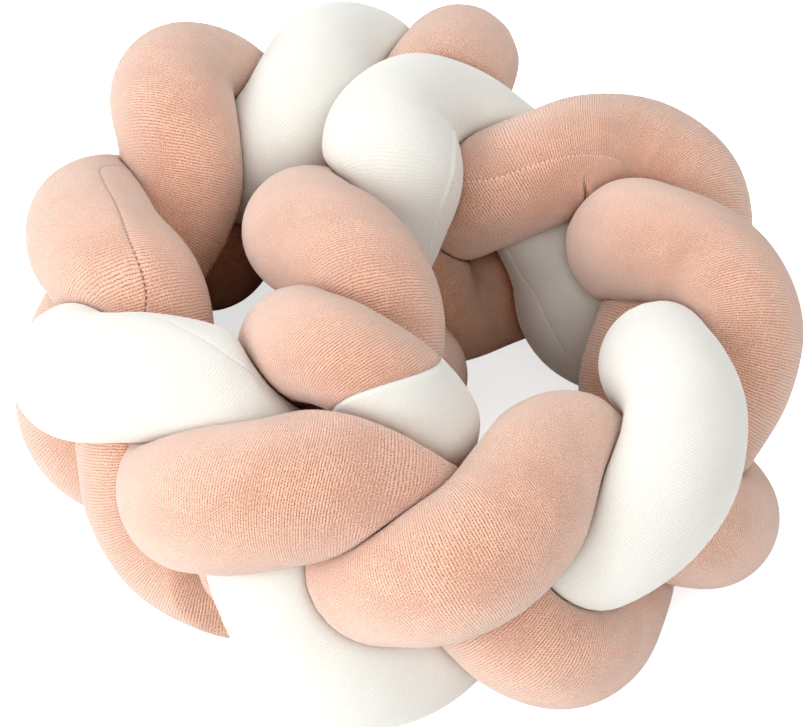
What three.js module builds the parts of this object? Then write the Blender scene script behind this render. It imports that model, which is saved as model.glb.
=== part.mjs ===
// A crib bumper: three stuffed plush tubes plaited into one long braid, stood on its edge and wound into a coil.
// Millimetres, +Z up. The braid rests on z = 0 and the origin is under the middle of the coil.
import * as THREE from 'three';

// Driving sizes
const TUBE_RADIUS = 37.5;
const BRAID_MIDDLE = 105;       // the usual height of the braid's middle above the floor
const FLOOR_PRESS = 2;          // how far the lowest lobes are pressed flat by the floor
const CONTACT_GAP = 3.2;        // between two tubes that press on each other, most of it taken up by their facets
const CONTACT_ROUNDING = 7;     // how softly a pressed flat runs out into the round of its tube
const SPLICE_GAP = 0.3;         // left between the two lengths of the spliced tube
const END_TAPER = 60;           // the length over which a tube's closed end is drawn in
const SETTLE = 0.06;            // how much wider, as a share, the weight above makes a tube at the floor
const FULLEST = 1.1;            // the most, as a share, that a tube swells between its neighbours
const RING_STEP = 6;            // between the rings of a closed end
const RING_STRIDE = 3;          // ring steps from one ring to the next along the rest of a tube
const SIDES = 18;               // around a tube

// Places along the braid are counted in lobes of its upper edge, where each lobe is the next tube coming over.
const TUBES = 3;
const FIRST_ROW = -1;
const OUTER_END = -0.4;
const SPLICE = 11.96;
const INNER_END = 12.4;
const LINE_STEP = 0.05;         // between the points of a tube's middle line that its neighbours press on
const OWN_STRETCH = 0.3;        // a tube isn't pressed by its own line this close along it
const LENGTH_SAMPLES = 800;     // for measuring along a tube's middle line

// The braid's course, a row for each lobe from the outer end to the inner end: the middle of the braid in plan,
// its lean to the outside of the coil in degrees, how far its tubes swing upward and sideways from the middle, and
// how full they are as a share of the usual radius.
const COURSE = [
  { x: 150, y: 285, lean: 6, rise: 50, swing: 32, girth: 1.00 },
  { x: 40, y: 214, lean: 2, rise: 47, swing: 30, girth: 0.98 },
  { x: -62, y: 198, lean: -13, rise: 64, swing: 31, girth: 1.02 },
  { x: -160, y: 143, lean: -8, rise: 66, swing: 27, girth: 1.01 },
  { x: -190, y: 5, lean: -2, rise: 63, swing: 22, girth: 1.02 },
  { x: -148, y: -99, lean: 18, rise: 75, swing: 29, girth: 1.07 },
  { x: -52, y: -195, lean: 5, rise: 70, swing: 25, girth: 1.12 },
  { x: 73, y: -194, lean: 4, rise: 62, swing: 30, girth: 1.08 },
  { x: 172, y: -126, lean: 0, rise: 70, swing: 24, girth: 0.99 },
  { x: 184, y: 5, lean: 4, rise: 67, swing: 27, girth: 0.98 },
  { x: 130, y: 109, lean: 10, rise: 62, swing: 27, girth: 1.02 },
  { x: -10, y: 102, lean: 4, rise: 78, swing: 30, girth: 0.95 },
  { x: -31, y: -10, lean: 6, rise: 76, swing: 25, girth: 1.03 },
  { x: -44, y: -136, lean: -17, rise: 89, swing: 29, girth: 0.89 },
  { x: -27, y: -196, lean: -73, rise: 68, swing: 34, girth: 0.93 },
];

// Where a tube leaves the even swing of the plait: how far it is moved, and how much fuller it is there.
const NUDGES = [
  { tube: 0, lobe: 0.12, move: new THREE.Vector3(-4, 3, 16), fuller: 0.06 },
  { tube: 2, lobe: 1.9, move: new THREE.Vector3(1, 3, 7.5), fuller: 0.07 },
  { tube: 2, lobe: 2.4, move: new THREE.Vector3(0, 8, -8), fuller: 0 },
  { tube: 0, lobe: 2.9, move: new THREE.Vector3(6, -3, -2), fuller: 0.14 },
  { tube: 1, lobe: 1.95, move: new THREE.Vector3(7, -2, -3), fuller: 0 },
  { tube: 1, lobe: 10.05, move: new THREE.Vector3(6, -6, -8), fuller: 0.18 },
  { tube: 1, lobe: 10.65, move: new THREE.Vector3(-3, 0, 0), fuller: -0.10 },
  { tube: 2, lobe: 10.9, move: new THREE.Vector3(0, 0, 0), fuller: 0.04 },
];
const NUDGE_SPREAD = 0.35;      // in lobes

const CLOTH = {
  blush: new THREE.MeshStandardMaterial({ color: '#e6b49a', roughness: 0.95, metalness: 0 }),
  ivory: new THREE.MeshStandardMaterial({ color: '#f1eee6', roughness: 0.95, metalness: 0 }),
};

// The sewn lengths. The first tube is spliced near the inner end, so its two lengths are cut flat there.
const LENGTHS = [
  { name: 'blush_tube_a', tube: 0, from: OUTER_END, to: SPLICE, cutEnd: true, cloth: CLOTH.blush },
  { name: 'ivory_end', tube: 0, from: SPLICE, to: INNER_END, cutStart: true, cloth: CLOTH.ivory },
  { name: 'ivory_tube', tube: 1, from: OUTER_END, to: INNER_END, cloth: CLOTH.ivory },
  { name: 'blush_tube_b', tube: 2, from: OUTER_END, to: INNER_END, cloth: CLOTH.blush },
];

const course = (pick) => new THREE.CatmullRomCurve3(COURSE.map(pick), false, 'catmullrom', 0.5);
const plan = course((row) => new THREE.Vector3(row.x, row.y, 0));
const form = course((row) => new THREE.Vector3(row.lean, row.rise, row.swing));
const girth = course((row) => new THREE.Vector3(row.girth, 0, 0));
const courseShare = (lobe) => (lobe - FIRST_ROW) / (COURSE.length - 1);
const nudgesOf = (tube) => NUDGES.filter((nudge) => nudge.tube === tube);
const nudgeShare = (nudge, lobe) => Math.exp(-(((lobe - nudge.lobe) / NUDGE_SPREAD) ** 2));

// The middle line of one tube: it swings around the braid's own middle as the tubes take turns to cross.
class TubeLine extends THREE.Curve {
  constructor(tube, from, to) {
    super();
    this.tube = tube;
    this.from = from;
    this.to = to;
    this.arcLengthDivisions = LENGTH_SAMPLES;
  }

  lobe(t) {
    return THREE.MathUtils.lerp(this.from, this.to, t);
  }

  getPoint(t, target = new THREE.Vector3()) {
    const lobe = this.lobe(t);
    const share = courseShare(lobe);
    const along = plan.getTangent(share);
    const { x: lean, y: rise, z: swing } = form.getPoint(share);
    const tilt = THREE.MathUtils.degToRad(lean);
    const out = new THREE.Vector3(along.y, -along.x, 0);
    const up = new THREE.Vector3(0, 0, 1);
    const upward = up.clone().multiplyScalar(Math.cos(tilt)).addScaledVector(out, Math.sin(tilt));
    const sideways = out.clone().multiplyScalar(Math.cos(tilt)).addScaledVector(up, -Math.sin(tilt));
    const turn = Math.PI / 2 + (2 * Math.PI * (lobe - this.tube)) / TUBES;
    const floorHeight = TUBE_RADIUS - FLOOR_PRESS + rise * Math.cos(tilt);
    target
      .copy(plan.getPoint(share))
      .addScaledVector(up, floorHeight)
      .addScaledVector(upward, rise * Math.sin(turn))
      .addScaledVector(sideways, swing * Math.sin(2 * turn));
    for (const nudge of nudgesOf(this.tube)) target.addScaledVector(nudge.move, nudgeShare(nudge, lobe));
    return target;
  }
}

function middleLinePoints() {
  const points = [];
  const steps = Math.round((INNER_END - OUTER_END) / LINE_STEP);
  for (let tube = 0; tube < TUBES; tube += 1) {
    const line = new TubeLine(tube, OUTER_END, INNER_END);
    for (let i = 0; i <= steps; i += 1) {
      points.push({ tube, lobe: line.lobe(i / steps), point: line.getPoint(i / steps) });
    }
  }
  return points;
}

const NEIGHBOURS = middleLinePoints();

function softMinimum(a, b, rounding) {
  const blend = Math.max(rounding - Math.abs(a - b), 0) / rounding;
  return Math.min(a, b) - (blend * blend * rounding) / 4;
}

// The radius of a tube that nothing presses, wider near the floor.
function looseRadius(centre, tube, lobe) {
  const settled = 1 + SETTLE * Math.max(1 - centre.z / BRAID_MIDDLE, 0);
  let full = girth.getPoint(courseShare(lobe)).x;
  for (const nudge of nudgesOf(tube)) full += nudge.fuller * nudgeShare(nudge, lobe);
  return TUBE_RADIUS * full * settled;
}

// How far the cloth stands from its tube's middle line: the full radius, or half-way to a tube that presses on
// it, and never below the floor.
function reach(centre, outward, tube, lobe, radius) {
  let halfway = Infinity;
  const offset = new THREE.Vector3();
  for (const near of NEIGHBOURS) {
    const own = near.tube === tube && Math.abs(near.lobe - lobe) < OWN_STRETCH;
    const toward = offset.subVectors(near.point, centre).dot(outward);
    if (!own && toward > 0) {
      const distance = offset.length();
      halfway = Math.min(halfway, (distance * (distance - CONTACT_GAP)) / (2 * toward));
    }
  }
  const pressed = softMinimum(radius, halfway, CONTACT_ROUNDING);
  return outward.z < 0 ? Math.min(pressed, -centre.z / outward.z) : pressed;
}

// One ring of a tube. The filling that its neighbours press aside swells the rest of the ring.
class Ring {
  constructor(line, share, normal, binormal) {
    this.tube = line.tube;
    this.centre = line.getPointAt(share);
    this.lobe = line.lobe(line.getUtoTmapping(share));
    this.normal = normal;
    this.binormal = binormal;
    this.radius = looseRadius(this.centre, this.tube, this.lobe);
    let area = 0;
    for (let side = 0; side < SIDES; side += 1) {
      area += this.reachAt((2 * Math.PI * side) / SIDES) ** 2 / SIDES;
    }
    this.radius *= THREE.MathUtils.clamp(this.radius / Math.sqrt(area), 1, FULLEST);
  }

  outward(angle) {
    return this.normal.clone().multiplyScalar(Math.cos(angle)).addScaledVector(this.binormal, Math.sin(angle));
  }

  reachAt(angle) {
    return reach(this.centre, this.outward(angle), this.tube, this.lobe, this.radius);
  }

  point(angle, full) {
    return this.centre.clone().addScaledVector(this.outward(angle), full * this.reachAt(angle));
  }
}

// A closed end rounds off over its taper. A cut end keeps the tube's full section.
function fullness(distance, cut) {
  const short = Math.max(1 - distance / END_TAPER, 0);
  return cut ? 1 : Math.sqrt(1 - short * short);
}

function sewnLength({ name, tube, from, to, cutStart, cutEnd, cloth }) {
  const line = new TubeLine(tube, from, to);
  const length = line.getLength();
  const steps = Math.round(length / RING_STEP);
  const frames = line.computeFrenetFrames(steps, false);
  const trim = (cut) => (cut ? SPLICE_GAP / 2 / length : 0);

  const profile = [];
  const rings = [];
  for (let ring = 0; ring <= steps; ring += 1) {
    const distance = (ring / steps) * length;
    const full = Math.min(fullness(distance, cutStart), fullness(length - distance, cutEnd));
    const needed = full < 1 || ring % RING_STRIDE === 0 || ring === steps;
    if (needed) {
      const share = THREE.MathUtils.lerp(trim(cutStart), 1 - trim(cutEnd), ring / steps);
      rings[ring] = new Ring(line, share, frames.normals[ring], frames.binormals[ring]);
      profile.push(new THREE.Vector2(full, ring));
    }
  }
  if (cutStart) profile.unshift(new THREE.Vector2(0, 0));
  if (cutEnd) profile.push(new THREE.Vector2(0, steps));

  const geometry = new THREE.LatheGeometry(profile, SIDES);
  const position = geometry.attributes.position;
  const vertex = new THREE.Vector3();
  for (let i = 0; i < position.count; i += 1) {
    vertex.fromBufferAttribute(position, i);
    const ring = rings[Math.round(vertex.y)];
    const place = ring.point(Math.atan2(vertex.x, vertex.z), Math.hypot(vertex.x, vertex.z));
    position.setXYZ(i, place.x, place.y, place.z);
  }
  geometry.computeVertexNormals();

  const mesh = new THREE.Mesh(geometry, cloth);
  mesh.name = name;
  return mesh;
}

const bumper = new THREE.Group();
bumper.name = 'crib_bumper';
bumper.add(...LENGTHS.map(sewnLength));

export default bumper;
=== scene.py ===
"""A braided crib bumper of ribbed plush, coiled on its edge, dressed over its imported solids.

The cloth is worked out in millimetres, from the same course as the solids, and meshed in metres.
"""

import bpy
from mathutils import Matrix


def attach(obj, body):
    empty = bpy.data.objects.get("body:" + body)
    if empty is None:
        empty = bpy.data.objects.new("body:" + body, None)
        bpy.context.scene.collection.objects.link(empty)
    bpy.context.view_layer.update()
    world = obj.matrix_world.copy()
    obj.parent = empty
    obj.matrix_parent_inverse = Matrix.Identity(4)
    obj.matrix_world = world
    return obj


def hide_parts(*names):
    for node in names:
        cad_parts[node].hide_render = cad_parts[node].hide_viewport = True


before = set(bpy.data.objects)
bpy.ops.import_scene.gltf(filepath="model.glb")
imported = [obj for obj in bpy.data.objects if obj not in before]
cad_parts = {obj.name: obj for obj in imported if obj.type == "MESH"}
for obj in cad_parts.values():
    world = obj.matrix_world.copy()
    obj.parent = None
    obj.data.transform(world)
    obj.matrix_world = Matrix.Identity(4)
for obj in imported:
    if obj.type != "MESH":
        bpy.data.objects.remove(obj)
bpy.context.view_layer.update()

import math

import bpy
import numpy as np
from mathutils import Vector

MM = 0.001

# The braid, as in the solids. Places along it are counted in lobes.
TUBE_RADIUS = 37.5
BRAID_MIDDLE = 105
FLOOR_PRESS = 2
SETTLE = 0.06
FULLEST = 1.1
END_TAPER = 60
TUBES = 3
FIRST_ROW = -1
OUTER_END = -0.4
SPLICE = 11.96
INNER_END = 12.4
OWN_STRETCH = 0.3
BEFORE_LAST = 1e-6

# The braid's middle in plan, its lean in degrees, how far its tubes swing upward and sideways,
# and how full they are
PLAN, LEAN, RISE, SWING, GIRTH = slice(0, 2), 2, 3, 4, 5
COURSE = np.array([
    (150, 285, 6, 50, 32, 1.00),
    (40, 214, 2, 47, 30, 0.98),
    (-62, 198, -13, 64, 31, 1.02),
    (-160, 143, -8, 66, 27, 1.01),
    (-190, 5, -2, 63, 22, 1.02),
    (-148, -99, 18, 75, 29, 1.07),
    (-52, -195, 5, 70, 25, 1.12),
    (73, -194, 4, 62, 30, 1.08),
    (172, -126, 0, 70, 24, 0.99),
    (184, 5, 4, 67, 27, 0.98),
    (130, 109, 10, 62, 27, 1.02),
    (-10, 102, 4, 78, 30, 0.95),
    (-31, -10, 6, 76, 25, 1.03),
    (-44, -136, -17, 89, 29, 0.89),
    (-27, -196, -73, 68, 34, 0.93),
], float)

# Where a tube leaves the even swing of the plait: the tube, the lobe, its move,
# and how much fuller it is there
NUDGES = [
    (0, 0.12, (-4, 3, 16), 0.06),
    (2, 1.9, (1, 3, 7.5), 0.07),
    (2, 2.4, (0, 8, -8), 0),
    (0, 2.9, (6, -3, -2), 0.14),
    (1, 1.95, (7, -2, -3), 0),
    (1, 10.05, (6, -6, -8), 0.18),
    (1, 10.65, (-3, 0, 0), -0.10),
    (2, 10.9, (0, 0, 0), 0.04),
]
NUDGE_SPREAD = 0.35

# Where each tube's lengthwise seam lies: the lobe, and the angle around the tube in degrees
SEAMS = [
    [(-0.4, 150), (0.75, 180), (1.25, 100), (1.75, 0), (2.2, -50), (2.45, -50), (2.55, -25), (2.6, -8),
     (2.69, -9), (2.79, -11), (2.9, -9), (3.0, -3), (3.09, 5), (3.18, 12), (3.25, 16), (3.35, 18),
     (3.45, 25), (3.7, 70), (4.0, 130), (4.3, 190), (5.25, 190), (6.0, 215), (6.6, 210), (7.2, 160),
     (7.5, 160), (7.95, 231), (8.4, 250), (8.8, 272), (8.9, 278), (9.03, 287), (9.1, 295), (9.15, 301),
     (9.21, 306), (9.26, 311), (9.47, 311), (9.6, 350), (9.8, 430), (10.25, 485), (11.0, 505),
     (11.75, 539), (12.4, 550)],
    [(-0.4, 132), (0.25, 110), (0.75, 137), (1.25, 182), (2.25, 190), (2.75, 205), (3.25, 260), (3.75, 330),
     (4.0, 355), (4.13, 376), (4.22, 393), (4.31, 404), (4.5, 370), (4.9, 265), (5.3, 243), (6.25, 206),
     (6.6, 260), (6.98, 351), (7.07, 362), (7.17, 375), (7.43, 385), (7.8, 370), (8.25, 320), (8.73, 286),
     (8.85, 294), (8.95, 281), (9.1, 258), (9.4, 262), (9.8, 290), (10.0, 320), (10.2, 358), (10.28, 378),
     (10.37, 386), (10.45, 386), (10.7, 330), (11.2, 250), (12.4, 230)],
    [(-0.4, 130), (0.75, 100), (1.25, 78), (1.75, 115), (2.25, 165), (3.25, 173), (3.75, 185), (4.25, 165),
     (4.75, 175), (5.75, 205), (6.25, 170), (6.75, 133), (7.75, 115), (8.25, 90), (8.75, 62), (9.75, 50),
     (10.25, 40), (10.6, 120), (10.9, 180), (11.75, 162), (12.4, 163)],
]
SEAM_SPREAD = 12

# How finely the cloth is meshed. Its columns crowd towards the seam.
LINE_STEP = 0.02
RING_STEP = 3.0
COLUMNS = 112
SEAM_CROWDING = 0.72
TIP_RINGS = 22

# How the cloth meets its neighbours, and itself inside a bend
CONTACT_GAP = 0.5
CONTACT_ROUNDING = 4.0
NEIGHBOUR_RANGE = 110
EVERY_LOBE = -1
OWN_NEAREST = 0.03
LEAST_TOWARD = 1e-3
FAR = 1e6
FOLD_SHARE = 0.97
FOLD_ROUNDING = 12.0
FREE_WITHIN = 6
SWELL_SPREAD = 15

# How the cloth is drawn along the outside of a bend, and wrinkles inside it
BEND_SPREAD = 12
BEND_STRETCH = 0.8
WRINKLE_DEPTH = 1.6
WRINKLE_PITCH = 15
WRINKLE_SWAY = 1.3
SWAYS_AROUND = 3
WRINKLE_DRIFT = 0.8
DRIFT_LENGTH = 29

# Gentle lumps of the filling: each wave's length, its turns around the tube and its phase
LUMP = 0.8
FILLING_WAVES = [(61, 1, 0.3), (83, -2, 1.9), (47, 2, 4.1), (119, 3, 2.7), (38, -1, 5.2)]
TUBE_PHASE = 2.4

# The groove of a seam, the soft puff beside it and its puckers
SEAM_DEPTH = 0.4
SEAM_WIDTH = 1.2
SEAM_PUFF = 0.15
PUFF_PLACE = 6
PUFF_WIDTH = 4
PUCKER_PITCH = 9
PUCKER_SHARE = 0.3
# Where a seam's allowance is pressed up into a welt: the tube, the lobe, the stretch in lobes, the height
WELTS = [(1, 10.25, 0.3, 1.5)]
WELT_WIDTH = 1.7

# Short creases: the tube, the lobe, the angle around it in degrees, half-length, half-width and depth
CREASES = [(0, 9.19, 266, 8, 0.9, 4.5)]
CREASE_RINGS = np.arange(-6, 6.1, 0.75)
# A crease's soft lips: their share of its depth, and their place and width in half-widths of the crease
LIP_SHARE = 0.35
LIP_PLACE = 3.5
LIP_WIDTH = 2

# The splice is cut on the slant, and the cloth on both sides leans over to it
SPLICE_SLANT = 0.44
SPLICE_TURN = math.radians(-111)
SPLICE_SHIFT = 15.8
SPLICE_REACH = 90
SPLICE_RIBS = 110
SPLICE_DIP = 0.25
SPLICE_ROUND = 2.5
SPLICE_GAP = 0.1
CAP_SHARES = (0.92, 0.5)
CAP_DEPTH = 0.6

# The gathers of a closed end
PLEATS = 11
PLEAT_DEPTH = 0.16
PLEAT_FADE = 3

# How the ribs lean along a tube, everywhere and at the top of each swing
RIB_SHEAR = 0.0025
TOP_SHEAR = 0.0075


def unit(vectors):
    return vectors / np.linalg.norm(vectors, axis=-1, keepdims=True)


def hill(offset, width):
    """A smooth rise of height 1 around no offset."""
    return np.exp(-((offset / width) ** 2))


def smoothed(values, spread):
    """values with a Gaussian blur of this spread, in steps."""
    width = int(3 * spread)
    kernel = np.exp(-0.5 * (np.arange(-width, width + 1) / spread) ** 2)
    padded = np.pad(values, width, mode="edge")
    return np.convolve(padded, kernel / kernel.sum(), mode="valid")


def soft_minimum(a, b, rounding):
    blend = np.maximum(rounding - np.abs(a - b), 0) / rounding
    return np.minimum(a, b) - blend**2 * rounding / 4


def rows_of(tube, table):
    """The rows of a table that are for this tube, without its number."""
    return [row[1:] for row in table if row[0] == tube]


def course_at(lobes):
    """The course and its slope at these lobes, on a smooth curve through its rows."""
    place = np.clip(lobes - FIRST_ROW, 0, len(COURSE) - 1 - BEFORE_LAST)
    row = place.astype(int)
    share = (place - row)[:, None]
    rows = np.vstack([2 * COURSE[0] - COURSE[1], COURSE, 2 * COURSE[-1] - COURSE[-2]])
    before, here, after, beyond = (rows[row + k] for k in range(4))
    bend = 2 * before - 5 * here + 4 * after - beyond
    twist = 3 * here - before - 3 * after + beyond
    value = 0.5 * (2 * here + (after - before) * share + bend * share**2 + twist * share**3)
    slope = 0.5 * ((after - before) + 2 * bend * share + 3 * twist * share**2)
    return value, slope


def braid_middle(value):
    """The braid's own middle line, at these values of its course."""
    height = TUBE_RADIUS - FLOOR_PRESS + value[:, RISE] * np.cos(np.radians(value[:, LEAN]))
    return np.column_stack([value[:, PLAN], height])


def even_points(tube, lobes):
    """Points of one tube's middle line before it is nudged: it swings around the braid's own middle."""
    value, slope = course_at(lobes)
    along = unit(slope[:, PLAN])
    out = np.column_stack([along[:, 1], -along[:, 0], np.zeros(len(lobes))])
    up = np.array([0.0, 0.0, 1.0])
    lean = np.radians(value[:, [LEAN]])
    upward = np.cos(lean) * up + np.sin(lean) * out
    sideways = np.cos(lean) * out - np.sin(lean) * up
    turn = (np.pi / 2 + 2 * np.pi * (lobes - tube) / TUBES)[:, None]
    swing = upward * value[:, [RISE]] * np.sin(turn) + sideways * value[:, [SWING]] * np.sin(2 * turn)
    return braid_middle(value) + swing


def nudged(tube, lobes):
    """How far a tube is moved at these lobes, and how much fuller it is."""
    total = np.zeros((len(lobes), 4))
    for lobe, move, fuller in rows_of(tube, NUDGES):
        total += hill(lobes - lobe, NUDGE_SPREAD)[:, None] * np.array([*move, fuller])
    return total


def tube_points(tube, lobes):
    """Points of one tube's middle line."""
    return even_points(tube, lobes) + nudged(tube, lobes)[:, :3]


class TubeLine:
    """One tube's middle line, read by the distance along it."""

    FINE = 3000

    def __init__(self, tube):
        self.tube = tube
        self.lobes = np.linspace(OUTER_END, INNER_END, self.FINE)
        self.points = tube_points(tube, self.lobes)
        self.girth = course_at(self.lobes)[0][:, GIRTH] + nudged(tube, self.lobes)[:, 3]
        steps = np.linalg.norm(np.diff(self.points, axis=0), axis=1)
        self.run = np.concatenate([[0], np.cumsum(steps)])
        self.length = self.run[-1]
        mean_step = self.length / self.FINE
        self.along = unit(np.gradient(self.points, self.run, axis=0))
        self.bend = np.gradient(self.along, self.run, axis=0)
        curve = smoothed(np.linalg.norm(self.bend, axis=1), BEND_SPREAD / mean_step)
        stretch = 1 + BEND_STRETCH * TUBE_RADIUS * curve
        self.cloth = np.concatenate([[0], np.cumsum(0.5 * (stretch[1:] + stretch[:-1]) * steps)])
        self.normal = self.transport()
        self.across = np.cross(self.along, self.normal)
        self.shear = self.rib_shear()
        seam_lobes, seam_angles = np.array(SEAMS[tube], float).T
        seam = np.radians(np.interp(self.lobes, seam_lobes, seam_angles))
        self.seam = smoothed(seam, SEAM_SPREAD / mean_step)

    def transport(self):
        """A direction square to the line, carried along the even swing without turning about it."""
        normals = np.zeros_like(self.points)
        normal = np.array([0.0, 0.0, 1.0])
        for i, along in enumerate(unit(np.gradient(even_points(self.tube, self.lobes), axis=0))):
            normal = unit(normal - along * normal.dot(along))
            normals[i] = normal
        return unit(normals - self.along * (normals * self.along).sum(1, keepdims=True))

    def rib_shear(self):
        """Across the line, how the cloth's ribs lean along it."""
        swung = self.points - braid_middle(course_at(self.lobes)[0])
        half = TUBES / 2
        place = self.lobes - self.tube + half / 2
        phase = place % half - half / 2
        upper = place % TUBES < half
        lean = RIB_SHEAR + TOP_SHEAR * upper * np.cos(2 * np.pi * phase)
        return lean[:, None] * np.cross(self.along, swung)

    def read(self, values, distance):
        if values.ndim == 1:
            return np.interp(distance, self.run, values)
        return np.stack([np.interp(distance, self.run, column) for column in values.T], -1)

    def distance_at(self, lobe):
        return float(np.interp(lobe, self.lobes, self.run))


def neighbour_points():
    lobes = np.arange(OUTER_END, INNER_END, LINE_STEP)
    tubes = np.repeat(np.arange(TUBES), len(lobes))
    points = np.vstack([tube_points(tube, lobes) for tube in range(TUBES)])
    return tubes, np.tile(lobes, TUBES), points


NEAR_TUBE, NEAR_LOBE, NEAR_POINT = neighbour_points()


def meeting(points, apart, nearest, centres, outward, gap):
    """How far each column of one ring may stand before it meets these points half-way."""
    offset = points[:, None] - centres[None]
    distance = np.linalg.norm(offset, axis=2)
    toward = np.maximum((offset * outward[None]).sum(2), LEAST_TOWARD)
    reach = distance * (distance - gap) / (2 * toward)
    return np.where(apart > nearest, reach, FAR).min(0, initial=FAR)


def halfway(tube, lobes, centres, outward):
    """How far the cloth may stand before it meets a neighbour, and before it meets itself inside a bend."""
    pressed = np.full(centres.shape[:2], FAR)
    folded = np.full(centres.shape[:2], FAR)
    for ring in range(len(centres)):
        close = np.linalg.norm(NEAR_POINT - centres[ring].mean(0), axis=1) < NEIGHBOUR_RANGE
        apart = np.abs(NEAR_LOBE[:, None] - lobes[ring][None])
        own = (NEAR_TUBE == tube) & (apart.min(1) < OWN_STRETCH)
        for limit, kept, nearest, gap in (
            (pressed, close & ~own, EVERY_LOBE, CONTACT_GAP),
            (folded, close & own, OWN_NEAREST, 0),
        ):
            limit[ring] = meeting(NEAR_POINT[kept], apart[kept], nearest, centres[ring], outward[ring], gap)
    return pressed, folded


def ring_distances(start, end, cut_start, cut_end):
    """Distances of the rings, and how full each is: crowded where a closed end is drawn in."""
    tip = np.sin(np.linspace(0, np.pi / 2, TIP_RINGS + 1))
    depth = END_TAPER * (1 - np.sqrt(1 - tip**2))
    first = start if cut_start else start + END_TAPER
    last = end if cut_end else end - END_TAPER
    count = int(round((last - first) / RING_STEP))
    distance = np.linspace(first, last, count + 1)
    full = np.ones(count + 1)
    if not cut_start:
        distance = np.concatenate([start + depth[1:-1], distance])
        full = np.concatenate([tip[1:-1], full])
    if not cut_end:
        distance = np.concatenate([distance, (end - depth[1:-1])[::-1]])
        full = np.concatenate([full, tip[1:-1][::-1]])
    return distance, full


def finer_at_creases(line, ring, full):
    """The rings, with closer ones where a short crease crosses the cloth."""
    for lobe, *_ in rows_of(line.tube, CREASES):
        fine = line.distance_at(lobe) + CREASE_RINGS
        if ring[0] < fine[0] and fine[-1] < ring[-1]:
            closer = np.unique(np.concatenate([ring, fine]))
            ring, full = closer, np.interp(closer, ring, full)
    return ring, full


def splice_slant(line, angle):
    """How far along the tube the splice lies at these angles from the seam."""
    around = angle + line.read(line.seam, line.distance_at(SPLICE))
    return SPLICE_SHIFT + SPLICE_SLANT * TUBE_RADIUS * np.cos(around - SPLICE_TURN)


def stuffed(line, ring, distance, centre, outward):
    """How far the stuffed cloth stands out, and the share of it that is free of what presses on it.

    The filling that the neighbours press aside swells the rest of the ring.
    """
    pressed, folded = halfway(line.tube, line.read(line.lobes, distance), centre, outward)
    settled = TUBE_RADIUS * (1 + SETTLE * np.maximum(1 - centre[..., 2] / BRAID_MIDDLE, 0))
    radius = settled * line.read(line.girth, distance)
    loose = soft_minimum(radius, pressed, CONTACT_ROUNDING)
    swell = np.clip((radius / np.sqrt((loose**2).mean(1, keepdims=True))).mean(1), 1, FULLEST)
    steady = np.arange(ring[0], ring[-1], RING_STEP)
    steady_swell = smoothed(np.interp(steady, ring, swell), SWELL_SPREAD / RING_STEP)
    swell = np.interp(ring, steady, steady_swell)[:, None]
    limit = soft_minimum(pressed, FOLD_SHARE * folded, FOLD_ROUNDING)
    reach = soft_minimum(radius * swell, limit, CONTACT_ROUNDING)
    return reach, np.clip((limit - reach) / FREE_WITHIN, 0, 1)


def wrinkles(line, distance, turn, outward):
    """How deep the cloth wrinkles inside the bends."""
    inside = np.clip((line.read(line.bend, distance) * TUBE_RADIUS * outward).sum(2), 0, 1)
    sway = WRINKLE_SWAY * np.sin(SWAYS_AROUND * turn) + WRINKLE_DRIFT * np.sin(distance / DRIFT_LENGTH)
    ripple = np.cos(2 * np.pi * distance / WRINKLE_PITCH + sway)
    return WRINKLE_DEPTH * inside**2 * (0.5 + 0.5 * ripple)


def lumps(line, distance, turn):
    """Gentle unevenness of the filling, the same each run."""
    total = 0
    for length, turns, phase in FILLING_WAVES:
        total = total + np.cos(2 * np.pi * distance / length + turns * turn + phase + TUBE_PHASE * line.tube)
    return LUMP * total / len(FILLING_WAVES)


def short_creases(line, distance, turn):
    """Short creases across the cloth, each with a soft lip on both sides."""
    total = np.zeros_like(distance)
    for lobe, around, length, width, depth in rows_of(line.tube, CREASES):
        off = np.abs(distance - line.distance_at(lobe))
        aside = (np.degrees(turn) - around + 180) % 360 - 180
        fade = hill(np.radians(aside) * TUBE_RADIUS, length)
        lip = LIP_SHARE * hill(off - LIP_PLACE * width, LIP_WIDTH * width)
        total += depth * fade * (lip - hill(off, width))
    return total


def lengthwise_seam(line, distance, angle):
    """The seam draws the cloth in along a narrow groove, with soft puckers, or stands up in a welt."""
    beside = np.minimum(angle, 2 * np.pi - angle) * TUBE_RADIUS
    total = SEAM_PUFF * hill(beside - PUFF_PLACE, PUFF_WIDTH) - SEAM_DEPTH * hill(beside, SEAM_WIDTH)
    for lobe, stretch, height in rows_of(line.tube, WELTS):
        fade = hill(line.read(line.lobes, distance) - lobe, stretch)
        total += height * fade * hill(beside, WELT_WIDTH)
    return total * (1 + PUCKER_SHARE * np.cos(2 * np.pi * distance / PUCKER_PITCH))


def gathered(full, angle):
    """How far a closed end is drawn in, with pleats around it."""
    gather = 0.5 + 0.5 * np.cos(PLEATS * angle)
    drawn = (1 - full) * np.minimum(full * PLEAT_FADE, 1)
    return full * (1 - PLEAT_DEPTH * gather * drawn)


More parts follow.
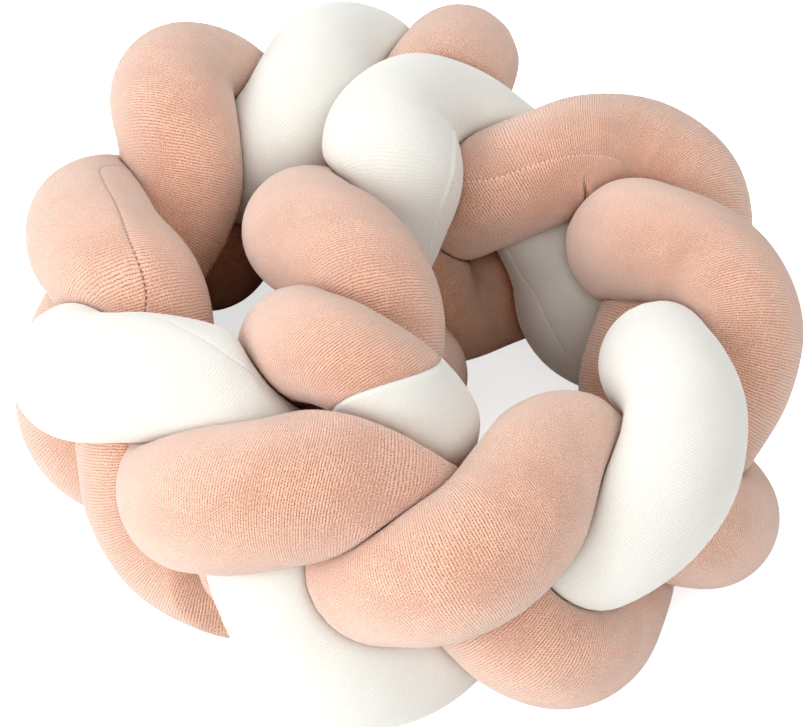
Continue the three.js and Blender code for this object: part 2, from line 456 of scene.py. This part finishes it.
def cloth_grid(line, start, end, cut_start, cut_end):
    """The cloth of one sewn length, by ring and column: its points, the measure across its ribs
    and the angle from the seam."""
    ring, full = finer_at_creases(line, *ring_distances(start, end, cut_start, cut_end))
    share = np.arange(COLUMNS) / COLUMNS
    angle = np.tile(2 * np.pi * share - SEAM_CROWDING * np.sin(2 * np.pi * share), (len(ring), 1))
    distance = np.tile(ring[:, None], (1, COLUMNS))
    spliced = cut_start or cut_end
    if spliced:
        cut = line.distance_at(SPLICE)
        slant = splice_slant(line, angle)
        near = np.clip(1 - np.abs(distance - cut) / SPLICE_REACH, 0, 1)
        distance = distance + slant * near * near * (3 - 2 * near)

    turn = angle + line.read(line.seam, distance)
    centre = line.read(line.points, distance)
    normal = unit(line.read(line.normal, distance))
    across = unit(line.read(line.across, distance))
    outward = normal * np.cos(turn)[..., None] + across * np.sin(turn)[..., None]

    reach, free = stuffed(line, ring, distance, centre, outward)
    reach = reach + free * (lumps(line, distance, turn) - wrinkles(line, distance, turn, outward))
    reach = reach + short_creases(line, distance, turn) + lengthwise_seam(line, distance, angle)
    reach = reach * gathered(full[:, None], angle)
    rib_lean = TUBE_RADIUS * (line.read(line.shear, distance) * outward).sum(2)
    if spliced:
        from_cut = np.abs(distance - cut - slant)
        reach = reach - SPLICE_DIP * np.clip(1 - from_cut / SPLICE_ROUND, 0, 1) ** 2
        rib_lean = rib_lean - hill(distance - cut, SPLICE_RIBS) * (slant + rib_lean)

    point = centre + outward * reach[..., None]
    point[..., 2] = np.maximum(point[..., 2], 0)
    return point, line.read(line.cloth, distance) + rib_lean, angle


def cap_cut_end(point, ribs, angle, at_start, inward):
    """The cloth with smaller rings added inside one cut edge, and the middle of that end."""
    edge = 0 if at_start else -1
    middle = point[edge].mean(0)
    smaller = np.array([middle + (point[edge] - middle) * share for share in CAP_SHARES])
    same_ribs = np.tile(ribs[edge], (len(CAP_SHARES), 1))
    same_angle = np.tile(angle[edge], (len(CAP_SHARES), 1))
    pairs = ((point, smaller), (ribs, same_ribs), (angle, same_angle))
    if at_start:
        joined = [np.concatenate([added[::-1], cloth]) for cloth, added in pairs]
    else:
        joined = [np.concatenate([cloth, added]) for cloth, added in pairs]
    return (*joined, middle + inward * CAP_DEPTH)


def grid_faces(rings):
    """Faces of a tube: quads between its rings, and a fan of triangles to the middle of each end."""
    corner = np.arange(rings * COLUMNS).reshape(rings, COLUMNS)
    after = np.roll(corner, -1, axis=1)
    quads = np.stack([corner[:-1], after[:-1], after[1:], corner[1:]], -1).reshape(-1, 4)
    first = np.full(COLUMNS, rings * COLUMNS)
    last = first + 1
    head = np.stack([first, after[0], corner[0]], -1)
    tail = np.stack([last, corner[-1], after[-1]], -1)
    return quads.tolist() + head.tolist() + tail.tolist()


def cloth_measure(along, around):
    """The cloth's own measure at the corners of those faces: across its ribs, and around from the seam."""
    whole_turn = np.full((len(around), 1), 2 * np.pi * TUBE_RADIUS * MM)
    around_after = np.hstack([around[:, 1:], whole_turn])
    here = np.stack([along, around], -1)
    there = np.stack([np.roll(along, -1, axis=1), around_after], -1)
    pole = np.stack([along, 0.5 * (around + around_after)], -1)
    quads = np.stack([here[:-1], there[:-1], there[1:], here[1:]], 2)
    head = np.stack([pole[0], there[0], here[0]], 1)
    tail = np.stack([pole[-1], here[-1], there[-1]], 1)
    return np.vstack([corners.reshape(-1, 2) for corners in (quads, head, tail)])


def build_length(name, line, start, end, material, cut_start=False, cut_end=False):
    """One sewn length of a tube, as a closed mesh."""
    start = start + SPLICE_GAP / 2 if cut_start else start
    end = end - SPLICE_GAP / 2 if cut_end else end
    point, ribs, angle = cloth_grid(line, start, end, cut_start, cut_end)
    ends = np.array([start, end])
    first, last = line.read(line.points, ends)
    along_first, along_last = line.read(line.along, ends)
    if cut_start:
        point, ribs, angle, first = cap_cut_end(point, ribs, angle, True, along_first)
    if cut_end:
        point, ribs, angle, last = cap_cut_end(point, ribs, angle, False, -along_last)

    vertices = np.vstack([point.reshape(-1, 3), first, last]) * MM
    mesh = bpy.data.meshes.new(name)
    mesh.from_pydata(vertices.tolist(), [], grid_faces(len(point)))
    mesh.polygons.foreach_set("use_smooth", np.ones(len(mesh.polygons), bool))
    measure = cloth_measure(ribs * MM, angle * TUBE_RADIUS * MM)
    mesh.uv_layers.new(name="cloth").data.foreach_set("uv", measure.ravel())
    mesh.materials.append(material)
    mesh.update()
    piece = bpy.data.objects.new(name, mesh)
    bpy.context.scene.collection.objects.link(piece)
    return piece


class Nodes:
    """Short names for adding and joining shader nodes."""

    # The colour sockets of a Mix node
    MIX_A, MIX_B, MIX_RESULT = 6, 7, 2

    def __init__(self, name):
        self.material = bpy.data.materials.new(name)
        self.material.use_nodes = True
        self.tree = self.material.node_tree
        self.shader = self.tree.nodes["Principled BSDF"]

    def add(self, kind, **settings):
        node = self.tree.nodes.new(kind)
        for key, value in settings.items():
            setattr(node, key, value)
        return node

    def put(self, socket, value):
        if isinstance(value, bpy.types.NodeSocket):
            self.tree.links.new(value, socket)
        else:
            socket.default_value = value

    def math(self, operation, a, b=0.0, c=0.0):
        node = self.add("ShaderNodeMath", operation=operation)
        for socket, value in zip(node.inputs, (a, b, c)):
            self.put(socket, value)
        return node.outputs[0]

    def times(self, a, b):
        return self.math("MULTIPLY", a, b)

    def wave(self, turns):
        """0 at each whole turn, 1 half-way between."""
        return self.math("ABSOLUTE", self.math("SINE", self.times(turns, math.pi)))

    def mix(self, share, a, b):
        node = self.add("ShaderNodeMix", data_type="RGBA")
        self.put(node.inputs["Factor"], share)
        self.put(node.inputs[self.MIX_A], a)
        self.put(node.inputs[self.MIX_B], b)
        return node.outputs[self.MIX_RESULT]

    def noise(self, vector, scale, detail=2.0, roughness=0.5):
        node = self.add("ShaderNodeTexNoise")
        self.put(node.inputs["Vector"], vector)
        for key, value in (("Scale", scale), ("Detail", detail), ("Roughness", roughness)):
            self.put(node.inputs[key], value)
        return node.outputs["Fac"]

    def ramp(self, value, low, high, to_low=0.0, to_high=1.0):
        """value eased from low..high to to_low..to_high."""
        node = self.add("ShaderNodeMapRange", interpolation_type="SMOOTHSTEP")
        for socket, entry in zip(node.inputs, (value, low, high, to_low, to_high)):
            self.put(socket, entry)
        return node.outputs[0]


# The pile: ribs of small loops that wander, under loose fibres. Noise scales are per metre of cloth.
RIB_PITCH = 1.9 * MM
LOOP_PITCH = 1.5 * MM
FIBRE = 0.8 * MM
RIB_WANDER = 2.2 * MM
WANDER_SCALE = 70
LOOP_STAGGER = 0.5
RIB_SHARE = 0.7
LOOP_SHARE = 0.3
FIBRE_SHARE = 0.5
FIBRE_RANGE = (0.25, 0.75)
FIBRE_NOISE = dict(scale=1.0, detail=1.0, roughness=0.6)
# Where the rib height turns to the dark valley colour, which holds the knit's own deeper colour and painted
# shade
KNIT_AND_SHADE_RANGE = (0.28, 0.95)
# Brushed patches, where the pile lies over, hides its ribs and looks paler
PATCH_NOISE = dict(scale=26, detail=3.0, roughness=0.55)
PATCH_RANGE = (0.40, 0.68)
PATCH_HIDES = 0.6
PATCH_PALES = 0.45
# Pale fibre tips scattered over the cloth, and a painted sheen: the colour painted paler where the cloth
# turns away from the view
TIP_RANGE = (0.5, 0.75)
TIP_SHARE = 0.3
PAINTED_SHEEN_BLEND = 0.5
PAINTED_SHEEN = 0.58
# The seam's painted shadow line, painted dark along its groove, and its stitches. The line fades along the
# tube: from and to these metres of cloth, and how strong it is before and after.
SEAM_SHADOW_FADE = (1.0, 1.5, 0.9, 0.15)
SEAM_LINE = (0.3 * MM, 0.8 * MM)
SEAM_SUNK = 0.6
STITCH_PITCH = 3.4 * MM
STITCH_EDGE = (0.16, 0.26)
THREAD_HIDDEN = 0.6
RELIEF_HEIGHT = 0.8 * MM
ROUGHNESS = 0.86
RIDGE_ROUGHNESS = 0.08
PLUSH_SHADER = {"Specular IOR Level": 0.1, "Sheen Weight": 0.7, "Sheen Roughness": 0.35}


def pile(n, uv, along, around):
    """The height of the ribbed pile, and where it is brushed over."""
    wander = n.times(n.math("SUBTRACT", n.noise(uv, WANDER_SCALE), 0.5), RIB_WANDER)
    across = n.math("ADD", along, wander)
    rib = n.wave(n.times(across, 1 / RIB_PITCH))
    loop_place = n.math("MULTIPLY_ADD", across, LOOP_STAGGER / RIB_PITCH, n.times(around, 1 / LOOP_PITCH))
    loop = n.wave(loop_place)
    fibre_place = n.add("ShaderNodeCombineXYZ")
    n.put(fibre_place.inputs[0], n.times(across, 1 / FIBRE))
    n.put(fibre_place.inputs[1], n.times(around, 1 / FIBRE))
    fibres = n.ramp(n.noise(fibre_place.outputs[0], **FIBRE_NOISE), *FIBRE_RANGE)
    brushed = n.ramp(n.noise(uv, **PATCH_NOISE), *PATCH_RANGE)
    shown = n.math("MULTIPLY_ADD", brushed, -PATCH_HIDES, 1.0)
    knit = n.math("MULTIPLY_ADD", loop, LOOP_SHARE, n.times(rib, RIB_SHARE))
    return n.math("MULTIPLY_ADD", fibres, FIBRE_SHARE, n.times(knit, shown)), brushed


def stitched_seam(n, along, around):
    """The seam's thin line of painted shadow, how strongly it is painted, and the stitches on it."""
    girth = 2 * math.pi * TUBE_RADIUS * MM
    beside = n.math("MINIMUM", around, n.math("SUBTRACT", girth, around))
    line = n.ramp(beside, *SEAM_LINE, 1.0, 0.0)
    # How strongly the painted seam shadow shows along the tube
    drawn = n.ramp(along, *SEAM_SHADOW_FADE)
    stitch = n.math("FRACT", n.times(along, 1 / STITCH_PITCH))
    stitch = n.ramp(n.math("ABSOLUTE", n.math("SUBTRACT", stitch, 0.5)), *STITCH_EDGE, 1.0, 0.0)
    shows = n.math("MULTIPLY_ADD", drawn, -THREAD_HIDDEN, 1.0)
    return line, drawn, n.times(n.times(line, stitch), shows)


def ribbed_plush(name, ridge, valley_colour_and_shade, tips_and_painted_sheen, thread, relief):
    """Fine ribbed plush: slanting ribs of small loops with painted shade in their valleys, brushed patches,
    a stitched seam with a painted shadow line, and a painted sheen: the colour painted paler towards the
    rims of the tube."""
    n = Nodes(name)
    uv = n.add("ShaderNodeUVMap", uv_map="cloth").outputs[0]
    split = n.add("ShaderNodeSeparateXYZ")
    n.put(split.inputs[0], uv)
    along, around = split.outputs[0], split.outputs[1]
    height, brushed = pile(n, uv, along, around)
    line, drawn, stitches = stitched_seam(n, along, around)

    # Painted shade: the rib valleys are painted darker, partly the knit's own colour, partly the shade of
    # the relief
    knit_and_shade_tone = n.ramp(height, *KNIT_AND_SHADE_RANGE)
    cloth = n.mix(knit_and_shade_tone, valley_colour_and_shade, ridge)
    cloth = n.mix(n.times(brushed, PATCH_PALES), cloth, ridge)
    tips = n.ramp(n.noise(uv, 1 / FIBRE, 0.0), *TIP_RANGE)
    cloth = n.mix(n.times(tips, TIP_SHARE), cloth, tips_and_painted_sheen)
    # Painted shadow: a dark line painted along the seam's groove
    cloth = n.mix(n.times(line, drawn), cloth, valley_colour_and_shade)
    cloth = n.mix(stitches, cloth, thread)
    # Painted sheen: the colour is painted paler where the cloth turns away from the view
    painted_sheen_facing = n.add("ShaderNodeLayerWeight")
    painted_sheen_facing.inputs["Blend"].default_value = PAINTED_SHEEN_BLEND
    cloth = n.mix(n.times(painted_sheen_facing.outputs["Facing"], PAINTED_SHEEN), cloth, tips_and_painted_sheen)

    bump = n.add("ShaderNodeBump")
    bump.inputs["Distance"].default_value = RELIEF_HEIGHT
    bump.inputs["Strength"].default_value = relief
    n.put(bump.inputs["Height"], n.math("SUBTRACT", height, n.times(line, SEAM_SUNK)))
    n.put(n.shader.inputs["Normal"], bump.outputs[0])
    n.put(n.shader.inputs["Base Color"], cloth)
    n.put(n.shader.inputs["Roughness"], n.math("MULTIPLY_ADD", knit_and_shade_tone, RIDGE_ROUGHNESS, ROUGHNESS))
    n.shader.inputs["Sheen Tint"].default_value = tips_and_painted_sheen
    for socket, value in PLUSH_SHADER.items():
        n.shader.inputs[socket].default_value = value
    return n.material


# The valley colours hold the knit's own deeper colour and painted shade; the tip colours serve the pale
# fibre tips, the sheen's tint and a painted sheen
BLUSH = ribbed_plush(
    "blush_plush",
    ridge=(0.87, 0.49, 0.345, 1),
    valley_colour_and_shade=(0.23, 0.07, 0.035, 1),
    tips_and_painted_sheen=(0.90, 0.77, 0.70, 1),
    thread=(0.93, 0.78, 0.68, 1),
    relief=0.9,
)
IVORY = ribbed_plush(
    "ivory_plush",
    ridge=(0.73, 0.717, 0.665, 1),
    valley_colour_and_shade=(0.635, 0.62, 0.565, 1),
    tips_and_painted_sheen=(0.86, 0.86, 0.83, 1),
    thread=(0.84, 0.83, 0.78, 1),
    relief=0.25,
)

LINES = [TubeLine(tube) for tube in range(TUBES)]
CUT = LINES[0].distance_at(SPLICE)

# piece, the node it stands for, tube, from, to, cut ends, cloth, slot
LENGTHS = [
    ("blush_tube_a_plush", "blush_tube_a", 0, 0, CUT, dict(cut_end=True), BLUSH, "blush"),
    ("ivory_end_plush", "ivory_end", 0, CUT, LINES[0].length, dict(cut_start=True), IVORY, "ivory"),
    ("ivory_tube_plush", "ivory_tube", 1, 0, LINES[1].length, {}, IVORY, "ivory"),
    ("blush_tube_b_plush", "blush_tube_b", 2, 0, LINES[2].length, {}, BLUSH, "blush"),
]
for piece_name, node, tube, start, end, cuts, cloth, slot in LENGTHS:
    piece = build_length(piece_name, LINES[tube], start, end, cloth, **cuts)
    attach(piece, "root")
    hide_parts(node)


# The floor, which glows for the camera alone and lights nothing
FLOOR_HALF = 4.0
FLOOR_CORNERS = ((-1, -1), (1, -1), (1, 1), (-1, 1))
FLOOR_GLOW = 0.68
FLOOR_SHADER = {"Base Color": (0.92, 0.92, 0.915, 1), "Roughness": 0.9, "Emission Color": (1, 1, 1, 1)}
floor_mesh = bpy.data.meshes.new("studio_floor")
floor_points = [(x * FLOOR_HALF, y * FLOOR_HALF, 0) for x, y in FLOOR_CORNERS]
floor_mesh.from_pydata(floor_points, [], [(0, 1, 2, 3)])
white = Nodes("studio_white")
for socket, value in FLOOR_SHADER.items():
    white.shader.inputs[socket].default_value = value
seen = white.add("ShaderNodeLightPath").outputs["Is Camera Ray"]
white.put(white.shader.inputs["Emission Strength"], white.times(seen, FLOOR_GLOW))
floor_mesh.materials.append(white.material)
floor = bpy.data.objects.new("studio_floor", floor_mesh)
bpy.context.scene.collection.objects.link(floor)


def aim(thing, place, target):
    thing.location = place
    thing.rotation_euler = (target - place).to_track_quat("-Z", "Y").to_euler()


# The camera, at the photograph's viewing angle
TARGET = Vector((0.002, 0.078, 0))
ELEVATION = math.radians(45.04)
CAMERA_DISTANCE = 2.5816
LENS = 167.38
SENSOR_WIDTH = 36
camera = bpy.data.objects.new("camera", bpy.data.cameras.new("camera"))
camera.data.sensor_fit = "HORIZONTAL"
camera.data.sensor_width = SENSOR_WIDTH
camera.data.lens = LENS
aim(camera, TARGET + CAMERA_DISTANCE * Vector((0, -math.cos(ELEVATION), math.sin(ELEVATION))), TARGET)
bpy.context.scene.collection.objects.link(camera)
bpy.context.scene.camera = camera

# Soft studio lights: name, place, width, power
LIGHTS = [
    ("key", (-2.0, -0.9, 1.35), 1.8, 38),
    ("front_left", (-1.2, -1.9, 1.2), 1.8, 32),
    ("front_high", (0.4, -1.9, 1.6), 1.8, 21),
    ("right", (1.8, -1.0, 0.9), 1.4, 5),
    ("back_right", (1.7, 0.9, 1.6), 1.6, 25),
    ("back_left", (-1.3, 1.7, 1.0), 1.2, 19),
    ("top", (-0.4, 0.8, 2.3), 1.6, 20),
]
LIT_POINT = Vector((0, 0, 0.08))
WORLD_STRENGTH = 0.01
for light_name, place, width, power in LIGHTS:
    lamp = bpy.data.lights.new(light_name, "AREA")
    lamp.size = width
    lamp.energy = power
    light = bpy.data.objects.new(light_name, lamp)
    aim(light, Vector(place), LIT_POINT)
    bpy.context.scene.collection.objects.link(light)

world = bpy.data.worlds.new("studio")
world.use_nodes = True
background = world.node_tree.nodes["Background"]
background.inputs["Color"].default_value = (1, 1, 1, 1)
background.inputs["Strength"].default_value = WORLD_STRENGTH
bpy.context.scene.world = world

# The photograph's contrast, whose deep shadows are darker and warmer: points of a curve for red,
# green and blue
SHADOW_CURVES = [
    [(0.02, 0.0105), (0.05, 0.033), (0.1, 0.093), (0.16, 0.165)],
    [(0.02, 0.0065), (0.05, 0.030), (0.1, 0.092), (0.16, 0.16)],
    [(0.02, 0.0060), (0.05, 0.029), (0.1, 0.091), (0.16, 0.16)],
]
view = bpy.context.scene.view_settings
view.view_transform = "Standard"
view.use_curve_mapping = True
for curve, points in zip(view.curve_mapping.curves, SHADOW_CURVES):
    for low, seen_as in points:
        curve.points.new(low, seen_as).handle_type = "VECTOR"
view.curve_mapping.update()
